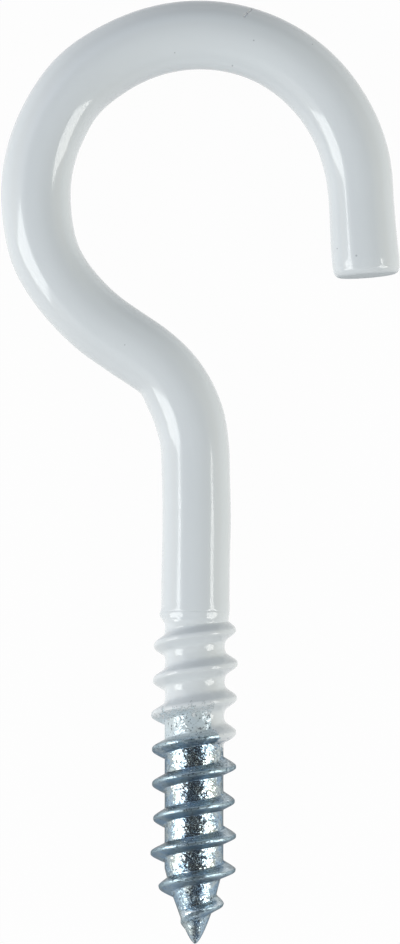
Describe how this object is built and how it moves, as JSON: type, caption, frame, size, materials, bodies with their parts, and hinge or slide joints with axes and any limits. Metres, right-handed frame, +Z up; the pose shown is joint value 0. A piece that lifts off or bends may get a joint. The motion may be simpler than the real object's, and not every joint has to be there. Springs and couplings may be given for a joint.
{
  "type": "screw hook",
  "caption": "Open round hook of coated steel wire with a straight shank and a pointed wood-screw thread, for hanging things from a ceiling, beam or wall.",
  "frame": {"origin": "on the screw axis, at the shoulder where the plain shank meets the thread", "axes": "+Y along the screw axis, from the point towards the hook; +X across the hook towards its open side; +Z up, square to the plane of the hook, which lies flat"},
  "size_m": [0.0339, 0.0802, 0.0072],
  "materials": {
    "white_coating": "gloss"
  },
  "bodies": {
    "root": {"screw_hook": "white_coating"}
  },
  "joints": []
}
